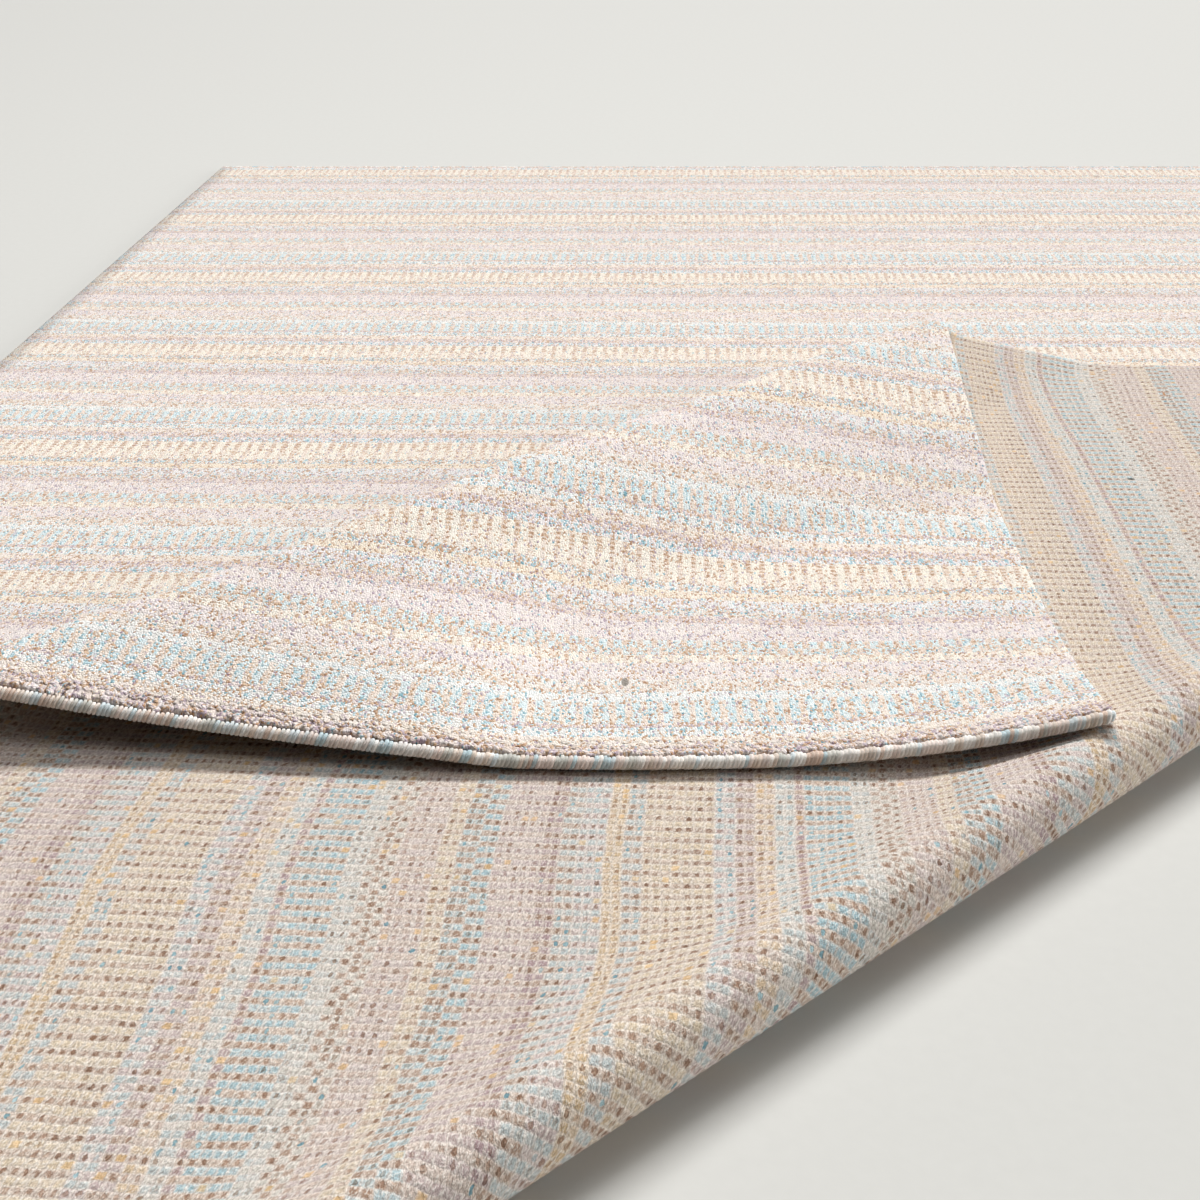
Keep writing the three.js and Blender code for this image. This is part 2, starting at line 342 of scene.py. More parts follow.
def wall(front_rim, front_at, back_rim, back_at):
    """Triangles between the two rims. Each goes one corner on, along the rim that lags behind."""
    rims, places, all_round = (front_rim, back_rim), (front_at, back_at), 2 * sum(LATTICE)
    done, faces = [0, 0], []
    while done[0] < len(front_rim) or done[1] < len(back_rim):
        here = [rim[k % len(rim)] for rim, k in zip(rims, done)]
        reach = [at[k + 1] if k + 1 < len(at) else all_round for at, k in zip(places, done)]
        on_front = done[0] < len(front_rim) and (reach[0] <= reach[1] or done[1] >= len(back_rim))
        side = 0 if on_front else 1
        done[side] += 1
        faces.append([int(corner) for corner in (*here, rims[side][done[side] % len(rims[side])])])
    return faces


front_used, front_number, front_outlines = polygons_of(front_squares)
back_used, back_number, back_outlines = polygons_of(back_squares)
print("Corners:", int(front_used.sum()), "on the front and", int(back_used.sum()), "on the back")

# %% [markdown]
# ## Laying the cloth
#
# Every corner of the patchwork is now carried to its place on the folded cloth, half a thickness to either
# side. The corners of the front and of the back come from the same rule, so the cloth keeps its thickness
# round every bend. On the tip, close to the eye, the front is quilted: the middle of each stitch stands out
# by a third of a millimetre, and no two stand out quite alike.

# %% Lay the cloth
PUFF, UNEVEN = 0.00030, 0.00011  # how far the middle of a stitch stands out, and how unevenly
QUILT_START, QUILT_FADE = 0.004, 0.012  # where the quilting starts past the ridge, and how soon it is full
chance = np.random.default_rng(1974)


def face_points(used, side):
    """Places of a face's corners, and where they are on the flat cloth."""
    i, j = np.nonzero(used)
    x, y = flat_of(i, j)
    place, front, _ = laid(x, y)
    out = 0 * x
    if side > 0:
        distance, along = past_roll(x, y)
        on_tip = np.clip((distance - ridge_start(along) - QUILT_START) / QUILT_FADE, 0, 1)
        out = PUFF * ((i % 2) * (j % 2) * 1.5 - 0.5) + UNEVEN * chance.normal(size=len(x)).clip(-2, 2)
        out = out * on_tip
    return place + front * (side * THICKNESS / 2 + out)[:, None], np.stack([x, y], 1)


def new_piece(name, points, faces, materials=()):
    """An object with a mesh of its own, at the origin."""
    mesh = bpy.data.meshes.new(name)
    mesh.from_pydata(points, [], faces)
    for material in materials:
        mesh.materials.append(material)
    piece = bpy.data.objects.new(name, mesh)
    bpy.context.scene.collection.objects.link(piece)
    return piece


def triangles(mesh):
    """How many triangles a mesh has once its faces are split."""
    return sum(len(polygon.vertices) - 2 for polygon in mesh.polygons)


front_points, front_flat = face_points(front_used, 1)
back_points, back_flat = face_points(back_used, -1)
shift = len(front_points)
back_faces = [[shift + k for k in reversed(outline)] for outline in back_outlines]
front_rim, front_at = rim_of(front_number)
back_rim, back_at = rim_of(back_number)
wall_faces = wall(front_rim, front_at, back_rim + shift, back_at)
cloth_points = np.concatenate([front_points, back_points]).tolist()
cloth = new_piece("woven_rug", cloth_points, front_outlines + back_faces + wall_faces)
print("Cloth:", len(cloth.data.vertices), "points and", triangles(cloth.data), "triangles")

# %% [markdown]
# ## A flat map for the weave
#
# The stripes have to follow the cloth round its bends, so they can't be painted from outside. Every corner of
# the mesh remembers where it was on the flat cloth, in metres, in a UV map. The shader then reads rows and
# columns of stitches from that map. The drift of the rows goes into the map as well.

# %% Write the flat map and sort the faces
flat = np.concatenate([front_flat, back_flat])
flat[:, 1] -= drift(flat[:, 0], flat[:, 1])
loops = np.zeros(len(cloth.data.loops), np.int32)
cloth.data.loops.foreach_get("vertex_index", loops)
flat_map = cloth.data.uv_layers.new(name="flat")
flat_map.uv.foreach_set("vector", flat[loops].astype(np.float32).ravel())
FRONT_SLOT, BACK_SLOT, SIDE_SLOT = 0, 1, 2
at_side = np.abs(flat[:, 0]) > WIDTH / 2 - 1e-6
wall_slots = [SIDE_SLOT if at_side[face].all() else FRONT_SLOT for face in wall_faces]
slots = [FRONT_SLOT] * len(front_outlines) + [BACK_SLOT] * len(back_faces) + wall_slots
cloth.data.polygons.foreach_set("material_index", np.array(slots, np.int32))
cloth.data.polygons.foreach_set("use_smooth", np.ones(len(slots), bool))
print("Flat map over", round(float(np.ptp(flat[:, 0])), 3), "by", round(float(np.ptp(flat[:, 1])), 3), "m")

# %% [markdown]
# ## Small tools for node trees
#
# Node trees grow long in code, because every plus sign is a node. So the output of a node is wrapped as a
# value that can be added, multiplied and compared like a number, and each sign adds the node that it stands
# for. The same tools serve the shaders and the Geometry Nodes. Colours are written as the eye sees them, from
# 0 to 255, and turned into the linear values that Blender works with.

# %% Helpers for node trees


class Value:
    """An output of a node that is used in sums like a number."""

    def __init__(self, tree, socket):
        self.tree, self.socket = tree, socket

    def __add__(self, other):
        return self.tree.math("ADD", self, other)

    def __sub__(self, other):
        return self.tree.math("SUBTRACT", self, other)

    def __rsub__(self, other):
        return self.tree.math("SUBTRACT", other, self)

    def __mul__(self, other):
        return self.tree.math("MULTIPLY", self, other)

    def __truediv__(self, other):
        return self.tree.math("DIVIDE", self, other)

    def __pow__(self, power):
        return self.tree.math("POWER", self, power)

    def __abs__(self):
        return self.tree.math("ABSOLUTE", self)

    def __lt__(self, other):
        return self.tree.math("LESS_THAN", self, other)

    def __gt__(self, other):
        return self.tree.math("GREATER_THAN", self, other)


class Tree:
    """Adds nodes to a node tree and wires them up as it goes."""

    def __init__(self, tree):
        self.tree = tree

    def feed(self, socket, value):
        if isinstance(value, Value):
            self.tree.links.new(value.socket, socket)
        else:
            socket.default_value = value

    def node(self, kind, *values, inputs=None, **settings):
        """A new node. Values go to its first inputs, and the inputs in the dictionary are fed by name."""
        made = self.tree.nodes.new(kind)
        for name, value in settings.items():
            setattr(made, name, value)
        for socket, value in zip(made.inputs, values):
            self.feed(socket, value)
        for name, value in (inputs or {}).items():
            self.feed(made.inputs[name], value)
        return made

    def get(self, kind, *values, output=0, **others):
        """One output of a new node, as a value."""
        return Value(self, self.node(kind, *values, **others).outputs[output])

    def math(self, operation, *values):
        return self.get("ShaderNodeMath", *values, operation=operation)

    def join(self, x, y=0.0, z=0.0):
        return self.get("ShaderNodeCombineXYZ", x, y, z)

    def parts(self, vector):
        return [Value(self, output) for output in self.node("ShaderNodeSeparateXYZ", vector).outputs]


def linear(red, green, blue):
    """A colour as seen, in 0 to 255, as Blender's linear colour."""
    shares = [c / 255 for c in (red, green, blue)]
    return (*(v / 12.92 if v <= 0.04045 else ((v + 0.055) / 1.055) ** 2.4 for v in shares), 1.0)


print("Linear value of a mid grey:", round(linear(128, 128, 128)[0], 3))

# %% [markdown]
# ## Small tools for finishes
#
# A finish needs a few more things: mixed colours, noise, soft steps, and ramps that hold their colours. Noise
# does two jobs here. It makes fibres, and it shakes the place at which the weave is read, so that no stitch
# has a ruled border. Wool hardly shines, so each finish is mostly a colour, a bump and a faint sheen.

# %% Helpers for materials


class Finish(Tree):
    """The node tree of a material, with its shader."""

    def __init__(self, material):
        super().__init__(material.node_tree)
        self.shader = self.node("ShaderNodeBsdfPrincipled")
        self.node("ShaderNodeOutputMaterial", Value(self, self.shader.outputs[0]))

    def carried(self, name, output="Vector"):
        """A named attribute or UV map of the mesh."""
        return self.get("ShaderNodeAttribute", attribute_name=name, output=output)

    def place(self):
        return self.get("ShaderNodeTexCoord", output="Object")

    def vector(self, operation, *values):
        return self.get("ShaderNodeVectorMath", *values, operation=operation)

    def mix(self, factor, first, second, blend="MIX"):
        """Two colours, mixed."""
        made = self.node("ShaderNodeMix", factor, data_type="RGBA", blend_type=blend)
        self.feed(made.inputs[6], first)
        self.feed(made.inputs[7], second)
        return Value(self, made.outputs[2])

    def blend(self, factor, first, second):
        """Two numbers, mixed."""
        made = self.node("ShaderNodeMix", factor, data_type="FLOAT")
        self.feed(made.inputs[2], first)
        self.feed(made.inputs[3], second)
        return Value(self, made.outputs[0])

    def shaded(self, colour, shade):
        return self.mix(1.0, colour, self.join(shade, shade, shade), "MULTIPLY")

    def noise(self, where, scale, detail=2.0, roughness=0.5, output="Fac"):
        sizes = {"Vector": where, "Scale": scale, "Detail": detail, "Roughness": roughness}
        return self.get("ShaderNodeTexNoise", inputs=sizes, output=output)

    def shaken(self, where, scale, amount, detail=2.0):
        """A place pushed about by a noise, by up to about half the amount."""
        push = self.vector("SUBTRACT", self.noise(where, scale, detail, 0.6, "Color"), (0.5, 0.5, 0.5))
        push = self.get("ShaderNodeVectorMath", push, inputs={"Scale": amount}, operation="SCALE")
        return self.vector("ADD", where, push)

    def grains(self, where, scale):
        """Irregular cells: how far each place is from its cell's middle, and three chances for each cell."""
        inputs = {"Vector": where, "Scale": scale}
        made = self.node("ShaderNodeTexVoronoi", inputs=inputs, voronoi_dimensions="2D")
        return Value(self, made.outputs["Distance"]), self.parts(Value(self, made.outputs["Color"]))

    def chance(self, where, output="Color"):
        return self.get("ShaderNodeTexWhiteNoise", where, noise_dimensions="3D", output=output)

    def steps(self, factor, stops):
        """A ramp that holds each colour until the next place."""
        ramp = self.node("ShaderNodeValToRGB", factor)
        ramp.color_ramp.interpolation = "CONSTANT"
        marks = ramp.color_ramp.elements
        for k, (place, colour) in enumerate(stops):
            mark = marks[k] if k < 2 else marks.new(place)
            mark.position = place
            mark.color = colour
        return Value(self, ramp.outputs[0])

    def smooth(self, value, low, high, to_low=0.0, to_high=1.0):
        """A soft step from one number to another while the value goes from low to high."""
        numbers = (value, low, high, to_low, to_high)
        return self.get("ShaderNodeMapRange", *numbers, interpolation_type="SMOOTHSTEP")

    def wear(self, colour, roughness, specular=0.5, sheen=0.0):
        """Dresses the shader. The even values are set on it directly."""
        self.feed(self.shader.inputs["Base Color"], colour)
        self.shader.inputs["Roughness"].default_value = roughness
        self.shader.inputs["Specular IOR Level"].default_value = specular
        self.shader.inputs["Sheen Weight"].default_value = sheen

    def raise_by(self, height, strength, distance=1.0):
        """Bumps the surface."""
        sizes = {"Strength": strength, "Distance": distance, "Height": height}
        self.feed(self.shader.inputs["Normal"], self.get("ShaderNodeBump", inputs=sizes))


def new_material(name):
    material = bpy.data.materials.new(name)
    material.use_nodes = True
    material.node_tree.nodes.clear()
    return material, Finish(material)


def count_nodes(material):
    print(material.name, "has", len(material.node_tree.nodes), "nodes")


print("Steps of a finish:", ", ".join(name for name in vars(Finish) if name[0] != "_"))

# %% [markdown]
# ## The chart of the stripes
#
# A weaver works from a chart. This one has 52 rows, counted upwards. Each line gives a number of rows with
# the colours of its A and B columns, how much of a pair the A column takes, and how flecked the yarn is.
# Where the share is above 0.53, the two colours keep to their columns and make a ladder. Elsewhere many
# stitches stray into the other colour. Ramps with held colours carry the chart into the shader.

# %% The chart
FRONT_YARNS = {
    "white": linear(234, 233, 230),
    "cream": linear(240, 230, 214),
    "peach": linear(236, 222, 204),
    "ochre": linear(236, 216, 188),
    "sky": linear(208, 226, 231),
    "ice": linear(223, 229, 230),
    "mauve": linear(227, 215, 217),
    "rose": linear(232, 219, 212),
    "tan": linear(230, 212, 197),
    "brown": linear(224, 202, 185),
    "plum": linear(216, 200, 204),
}
CHART = [
    # rows, A, B, share of A, and flecks: warm, cool and plum
    (5, "sky", "tan", 0.54, 0.16, 0.16, 0.03),
    (2, "white", "ice", 0.50, 0.10, 0.08, 0.03),
    (1, "white", "brown", 0.52, 0.20, 0.06, 0.03),
    (1, "brown", "white", 0.48, 0.20, 0.06, 0.03),
    (1, "white", "brown", 0.52, 0.20, 0.06, 0.03),
    (4, "rose", "mauve", 0.52, 0.13, 0.03, 0.10),
    (2, "cream", "tan", 0.64, 0.16, 0.02, 0.04),
    (2, "brown", "sky", 0.54, 0.22, 0.10, 0.03),
    (2, "sky", "brown", 0.54, 0.22, 0.10, 0.03),
    (5, "mauve", "rose", 0.52, 0.06, 0.02, 0.12),
    (2, "plum", "brown", 0.52, 0.15, 0.02, 0.20),
    (2, "ice", "brown", 0.52, 0.24, 0.16, 0.10),
    (3, "ice", "mauve", 0.50, 0.18, 0.08, 0.08),
    (2, "ochre", "peach", 0.50, 0.18, 0.02, 0.04),
    (2, "ice", "tan", 0.52, 0.28, 0.20, 0.06),
    (4, "cream", "tan", 0.60, 0.15, 0.01, 0.03),
    (3, "cream", "brown", 0.60, 0.30, 0.01, 0.02),
    (2, "ice", "mauve", 0.48, 0.16, 0.30, 0.06),
    (2, "mauve", "brown", 0.52, 0.24, 0.03, 0.20),
    (2, "peach", "rose", 0.50, 0.18, 0.02, 0.05),
    (2, "ice", "white", 0.52, 0.16, 0.22, 0.05),
    (1, "plum", "tan", 0.52, 0.26, 0.08, 0.14),
]
BOTTOM_ROW = 12.4  # rows from a cream ladder's middle up to the chart's first row
assert sum(line[0] for line in CHART) == REPEAT_ROWS


def chart_stops(pick):
    """Where each line of the chart starts, with what is picked from it."""
    starts = np.cumsum([0] + [line[0] for line in CHART[:-1]])
    return [(int(start) / REPEAT_ROWS, pick(line)) for start, line in zip(starts, CHART)]


print("Chart of", len(CHART), "lines and", REPEAT_ROWS, "rows")

# %% [markdown]
# ## Reading the chart in a shader
#
# Both faces of the cloth and the tufts read the same chart, so one function lays its nodes. It takes a flat
# position and gives back the row and the pair of columns there, the place within the stitch, and the chart's
# colours and flecks. A white noise turns a stitch's numbers into chances of its own, so each is dyed a little
# differently.

# %% Find a stitch
ROWS_START = LADDER_Y + BOTTOM_ROW * STITCH_Y - 8 * REPEAT_ROWS * STITCH_Y  # eight repeats further down


def stitch_finder(tree, flat_place, yarns):
    """Numbers and chart colours of the stitch at a flat place given in metres."""
    x, y, _ = tree.parts(flat_place)
    column = (x + WIDTH / 2) * (1 / STITCH_X)
    row = (y - ROWS_START) * (1 / STITCH_Y)
    pair = column * 0.5
    row_number = tree.math("FLOOR", row)
    chart_place = tree.math("FRACT", (row_number + 0.5) / REPEAT_ROWS)
    plan = tree.steps(chart_place, chart_stops(lambda line: line[3:7]))
    share, warm, cool = [Value(tree, part) for part in tree.node("ShaderNodeSeparateColor", plan).outputs]
    from_a = abs(tree.math("FRACT", pair) - 0.25)
    return {
        "pair": tree.math("FLOOR", pair),
        "row": row_number,
        "in_column": tree.math("FRACT", column),
        "in_row": tree.math("FRACT", row),
        "a": tree.steps(chart_place, chart_stops(lambda line: yarns[line[1]])),
        "b": tree.steps(chart_place, chart_stops(lambda line: yarns[line[2]])),
        "share": share,
        "warm": warm,
        "cool": cool,
        "plum": Value(tree, plan.socket.node.outputs["Alpha"]),
        "from_a": tree.math("MINIMUM", from_a, 1.0 - from_a),  # from the middle of the A stitch, in pairs
    }


def which_column(tree, stitch, softness):
    """How far a place is in the B column, from 0 to 1, and three chances for its stitch."""
    b_ness = tree.smooth(stitch["from_a"] - stitch["share"] * 0.5, -softness, softness)
    numbers = tree.join(stitch["pair"], stitch["row"], tree.math("ROUND", b_ness))
    return b_ness, tree.parts(tree.chance(numbers))


def humped(tree, share):
    """A round hump over a stitch: 0 at both of its borders and 1 in the middle."""
    return tree.math("SINE", share * math.pi)


def with_flaws(tree, where, yarn, flaws):
    """Small marks on the cloth, each a soft oval of its own colour."""
    x, y, _ = tree.parts(where)
    for (at_x, at_y), wide, high, colour in flaws:
        across = (x - at_x) / wide
        up = (y - (at_y - float(drift(at_x, at_y)))) / high
        away = tree.math("SQRT", across * across + up * up)
        yarn = tree.mix(tree.smooth(away, 1.15, 0.75), yarn, colour)
    return yarn


print("The cloth's lowest row has the number", math.floor((-LENGTH / 2 - ROWS_START) / STITCH_Y))

# %% [markdown]
# ## The front: brushed wool loops
#
# Seen close, the front is not tidy: the borders of the stitches are fuzzy, and every loop has its own tint.
# So the flat place is first shaken by two noises, a wide one and a fine one, and only then is the chart read.
# Each stitch then mixes some white or tan into its yarn, by its own chances.

# %% Front material: the yarn of each stitch
front_material, weave = new_material("looped_front")
where = weave.vector("ADD", weave.carried("flat"), weave.carried("spot"))
fibre = weave.noise(weave.place(), 1500.0, 2.0, 0.7)
frayed = weave.shaken(weave.shaken(where, 60.0, 0.0026, 1.0), 620.0, 0.0022)
stitch = stitch_finder(weave, frayed, FRONT_YARNS)
b_ness, own = which_column(weave, stitch, 0.06)
ladder = weave.smooth(stitch["share"], 0.525, 0.535)
strayed = weave.blend((1.0 - ladder) * 0.7, b_ness, own[2])
yarn = weave.mix(strayed, stitch["a"], stitch["b"])
yarn = weave.mix(own[0] * 0.35 + 0.10, yarn, linear(246, 240, 232))
yarn = weave.mix(own[1] * 0.16, yarn, linear(224, 204, 188))
count_nodes(front_material)

# %% [markdown]
# ## Flecks in the front's yarn
#
# Fine specks of tan, blue and plum fibre are spun into the yarn. Small irregular cells carry them, each with
# three chances: one decides whether it is a fleck and of which kind, one how light it is, and one how deep a
# fleck's colour is. In a ladder the tan flecks clump in the B column, where two rows meet. That gives the
# small brown dots between the pale columns. The flaws are marks that show on the real rug: a grey fleck, a
# small disturbed spot, and a dark fleck near the cord.

# %% Front material: flecks and flaws
FLAWS = [  # in flat metres: middle, half width, half height, colour
    ((0.4542, -0.9214), 0.0021, 0.0042, linear(150, 142, 132)),
    ((0.4532, -0.7395), 0.0013, 0.0030, linear(120, 165, 178)),
    ((0.4600, -0.7420), 0.0018, 0.0046, linear(204, 172, 150)),
    ((0.4652, -0.7400), 0.0016, 0.0036, linear(164, 196, 204)),
    ((0.1938, -0.9802), 0.0011, 0.0016, linear(88, 70, 66)),
]
from_middle, grain = weave.grains(weave.vector("MULTIPLY", where, (1.0, 0.62, 1.0)), 980.0)
shade = grain[1] * 0.28 + fibre * 0.18 + 0.905
# Each cell of the yarn is drawn up to a fifth darker towards its edge: painted shade in the gaps between the
# beads of yarn.
shade = shade * weave.smooth(from_middle, 0.78, 0.35, 0.80, 1.0)
# The tufts are drawn 4 % darker than the cloth: painted shade on the tufts.
shade = shade * (1.0 - weave.carried("pile", "Fac") * 0.04)
yarn = weave.shaded(yarn, shade)
off_row = abs(stitch["in_row"] - 0.5)
clump = weave.smooth(stitch["from_a"], 0.24, 0.42) * weave.smooth(off_row, 0.14, 0.34)
clump = clump * (own[2] * 3.0 + 1.7)
locked = ladder * weave.smooth(stitch["warm"], 0.20, 0.28, 0.35, 1.0)
warm_odds = stitch["warm"] * (1.0 - locked * 0.7 + clump * locked)
cool_odds = stitch["cool"] * (1.25 - b_ness * 0.9)
warm = weave.mix(grain[2] ** 1.5, linear(218, 187, 156), linear(178, 134, 100))
cool = weave.mix(grain[2] ** 3.0, linear(192, 218, 225), linear(96, 156, 172))
plum = weave.mix(grain[2], linear(212, 198, 204), linear(178, 154, 166))
yarn = weave.mix(grain[0] < warm_odds, yarn, warm)
yarn = weave.mix(grain[0] > 1.0 - cool_odds, yarn, cool)
yarn = weave.mix(abs(grain[0] - 0.62) < stitch["plum"] * 0.5, yarn, plum)
yarn = with_flaws(weave, where, yarn, FLAWS)
weave.wear(yarn, 0.95, 0.12, 0.25)
weave.shader.inputs["Sheen Roughness"].default_value = 0.6
count_nodes(front_material)

# %% [markdown]
# ## The relief of the loops
#
# The loops could all be modelled, but there are 150,000 of them, and from above their relief is finer than a
# picture's dots. So a bump carries it: a hump for every stitch, a bead for every cell of the yarn, and the
# fibres on top.

# %% Front material: relief
loop_height = humped(weave, stitch["in_column"]) * humped(weave, stitch["in_row"]) ** 0.5
bead = weave.smooth(from_middle, 0.75, 0.0, 0.0, 0.0008)
weave.raise_by(loop_height * 0.0004 + (bead + fibre * 0.0003), 0.6)
count_nodes(front_material)

# %% [markdown]
# ## The back: the same chart, flat and crisp
#
# On the back nothing is brushed, so every float of weft shows by itself, an oval in a row of ovals over a
# pale ground of slanting, plied threads. The colours are the same yarns, only deeper, because the floats are
# tight. The threads come from one noise, stretched along them. The same noise raises the threads and paints
# them lighter on top and darker between them: painted highlight and painted shade.

# %% Back material: the ground and the floats
BACK_YARNS = {
    "white": linear(214, 210, 202),
    "cream": linear(222, 208, 186),
    "peach": linear(220, 200, 172),
    "ochre": linear(217, 196, 164),
    "sky": linear(180, 204, 210),
    "ice": linear(198, 206, 206),
    "mauve": linear(204, 188, 186),
    "rose": linear(210, 192, 180),
    "tan": linear(196, 170, 148),
    "brown": linear(182, 154, 132),
    "plum": linear(188, 166, 168),
}
back_material, weave = new_material("woven_back")
where = weave.carried("flat")
frayed = weave.shaken(weave.shaken(where, 60.0, 0.0024, 1.0), 480.0, 0.0020)
stitch = stitch_finder(weave, frayed, BACK_YARNS)
b_ness, own = which_column(weave, stitch, 0.05)
yarn = weave.mix(b_ness, stitch["a"], stitch["b"])
x, y, _ = weave.parts(where)
slanted = weave.join(x * 420.0 + y * 300.0, y * 1050.0 - x * 420.0)
thread = weave.noise(slanted, 1.0, 2.0, 0.7)
ground = weave.mix(0.66, yarn, linear(212, 200, 190))
off_column = stitch["in_column"] - 0.5
in_stitch = abs(off_column)
in_float = abs(stitch["in_row"] - 0.48 - off_column * 0.15)
patch = weave.smooth(in_stitch, 0.50, 0.30) * weave.smooth(in_float, 0.46, 0.24)
strength = own[2] * 0.60 + 0.55 - b_ness * 0.35
deeper = weave.mix(0.5, yarn, yarn, "MULTIPLY")
yarn = weave.mix(patch * strength, ground, deeper)
# Lighter where a thread stands out and darker between threads, following the bump below: painted highlight
# and painted shade.
yarn = weave.mix(weave.smooth(thread, 0.51, 0.62, 0.0, 0.55), yarn, linear(238, 232, 223))
yarn = weave.mix(weave.smooth(thread, 0.49, 0.38, 0.0, 0.48), yarn, linear(152, 134, 122))
count_nodes(back_material)

# %% [markdown]
# ## Dots on the back
#
# In the B columns many floats are dark. They look like brown dots in rows, in the blue stripes some are teal,
# and here and there one is golden. Each stitch's chances decide, and the chart's share of warm flecks makes
# them more or less common. The threads fray the dots' outlines, and the dots lie a little deeper.

# %% Back material: dots, flaws and relief
BACK_FLAWS = [  # as on the front
    ((0.4648, -0.2974), 0.0014, 0.0024, linear(44, 66, 60)),
    ((0.6336, -0.2398), 0.0042, 0.0009, linear(188, 140, 98)),
]
DOT_WIDE, DOT_HIGH = 0.35, 0.21  # half sizes of a dot, in stitches
away = weave.math("SQRT", (in_stitch / DOT_WIDE) ** 2.0 + (in_float / DOT_HIGH) ** 2.0)
dot = weave.smooth(away + (thread - 0.5), 1.20, 0.80)
dot_odds = b_ness * (stitch["warm"] * 1.4 + 0.38) + 0.08
dot = dot * weave.smooth(own[0], dot_odds + 0.12, dot_odds - 0.12)
brown = weave.mix(own[1] ** 1.3, linear(236, 222, 212), linear(168, 136, 110))
teal = weave.mix(own[1], linear(160, 192, 198), linear(70, 134, 150))
dyed = weave.mix(own[2] < stitch["cool"] * 1.1, weave.mix(1.0, yarn, brown, "MULTIPLY"), teal)
yarn = weave.mix(dot * 0.84, yarn, dyed)
yarn = weave.mix(patch * (own[2] > 0.975) * 0.6, yarn, linear(226, 190, 138))
_, grain = weave.grains(where, 900.0)
yarn = weave.shaded(yarn, grain[1] * 0.22 + 0.96)
weave.wear(with_flaws(weave, where, yarn, BACK_FLAWS), 0.9, 0.2, 0.12)
height = humped(weave, stitch["in_column"]) * 0.0003 + thread * 0.0016 - dot * 0.0003
weave.raise_by(height, 0.7)
count_nodes(back_material)

# %% [markdown]
# ## The plain side edge
#
# Along both sides the weft turns round a last, thicker warp: a narrow beige and grey line. The wall of the
# cloth wears it, under the turns of yarn that come later.

# %% Side edge material
edge_material, edge_yarn = new_material("side_edge_yarn")
where = edge_yarn.place()
grey = edge_yarn.smooth(edge_yarn.noise(where, 420.0, 2.0, 0.6), 0.35, 0.65)
edge_yarn.wear(edge_yarn.mix(grey, linear(186, 174, 160), linear(226, 217, 206)), 0.92, 0.15)
edge_yarn.raise_by(edge_yarn.noise(where, 900.0, 2.0, 0.6), 0.5, 0.0006)
for material in (front_material, back_material, edge_material):
    cloth.data.materials.append(material)
print("Cloth wears", [material.name for material in cloth.data.materials])

# %% [markdown]
# ## Geometry Nodes for what repeats
#
# The wound cords, the tufts and the turns of the sides are the same small thing many times over. Each gets a
# tree that sets a small shape on prepared points, turned by directions that the points carry. The points know
# where the cloth bends, and the trees only know about yarn.

# %% Helpers for Geometry Nodes


def points_mesh(name, places, **attributes):
    """Loose points that carry named numbers and directions."""
    mesh = bpy.data.meshes.new(name)
    mesh.from_pydata(np.asarray(places).tolist(), [], [])
    for label, values in attributes.items():
        values = np.asarray(values, np.float32)
        kind, key = ("FLOAT_VECTOR", "vector") if values.ndim == 2 else ("FLOAT", "value")
        mesh.attributes.new(label, kind, "POINT").data.foreach_set(key, values.ravel())
    return mesh


class Growth(Tree):
    """A geometry tree with a geometry in and out, and named numbers."""

    def __init__(self, name, numbers):
        super().__init__(bpy.data.node_groups.new(name, "GeometryNodeTree"))
        sockets = self.tree.interface
        sockets.new_socket("Geometry", in_out="OUTPUT", socket_type="NodeSocketGeometry")
        sockets.new_socket("Geometry", in_out="INPUT", socket_type="NodeSocketGeometry")
        for label, value in numbers.items():
            kind = "NodeSocketInt" if isinstance(value, int) else "NodeSocketFloat"
            sockets.new_socket(label, in_out="INPUT", socket_type=kind).default_value = value
        start = self.node("NodeGroupInput")
        self.given = {label: Value(self, start.outputs[label]) for label in ("Geometry", *numbers)}

    def named(self, label):
        """A direction that the points carry."""
        return self.get("GeometryNodeInputNamedAttribute", data_type="FLOAT_VECTOR", inputs={"Name": label})

    def facing(self, primary, secondary):
        """A rotation that puts Z along one carried direction and X along another."""
        axes = {"primary_axis": "Z", "secondary_axis": "X"}
        return self.get("FunctionNodeAxesToRotation", self.named(primary), self.named(secondary), **axes)

    def turned(self, rotation, angles):
        return self.get("FunctionNodeRotateRotation", rotation, angles, rotation_space="LOCAL")

    def set_on_points(self, shape, rotation, scale, material):
        """Sets the shape on every point, makes it real and dresses it: the end of every tree here."""
        inputs = {"Points": self.given["Geometry"], "Instance": shape, "Rotation": rotation, "Scale": scale}
        copies = self.get("GeometryNodeInstanceOnPoints", inputs=inputs)
        real = self.get("GeometryNodeRealizeInstances", copies)
        dressed = self.get("GeometryNodeSetMaterial", inputs={"Geometry": real, "Material": material})
        self.node("NodeGroupOutput", dressed)


def grow(name, mesh, growth, numbers):
    """Runs a tree on prepared points and keeps the result as a plain mesh."""
    seed = bpy.data.objects.new(name + ".points", mesh)
    bpy.context.scene.collection.objects.link(seed)
    modifier = seed.modifiers.new("grow", "NODES")
    modifier.node_group = growth.tree
    for item in growth.tree.interface.items_tree:
        if item.in_out == "INPUT" and item.name in numbers:
            modifier[item.identifier] = numbers[item.name]
    graph = bpy.context.evaluated_depsgraph_get()
    evaluated = seed.evaluated_get(graph)
    grown = bpy.data.meshes.new_from_object(evaluated, preserve_all_data_layers=True, depsgraph=graph)
    seed.modifiers.remove(modifier)
    bpy.data.objects.remove(seed)
    bpy.data.meshes.remove(mesh)
    grown.name = name
    piece = bpy.data.objects.new(name, grown)
    bpy.context.scene.collection.objects.link(piece)
    grown.polygons.foreach_set("use_smooth", np.ones(len(grown.polygons), bool))
    print(name, "has", triangles(grown), "triangles")
    return piece


print("Node groups so far:", len(bpy.data.node_groups))

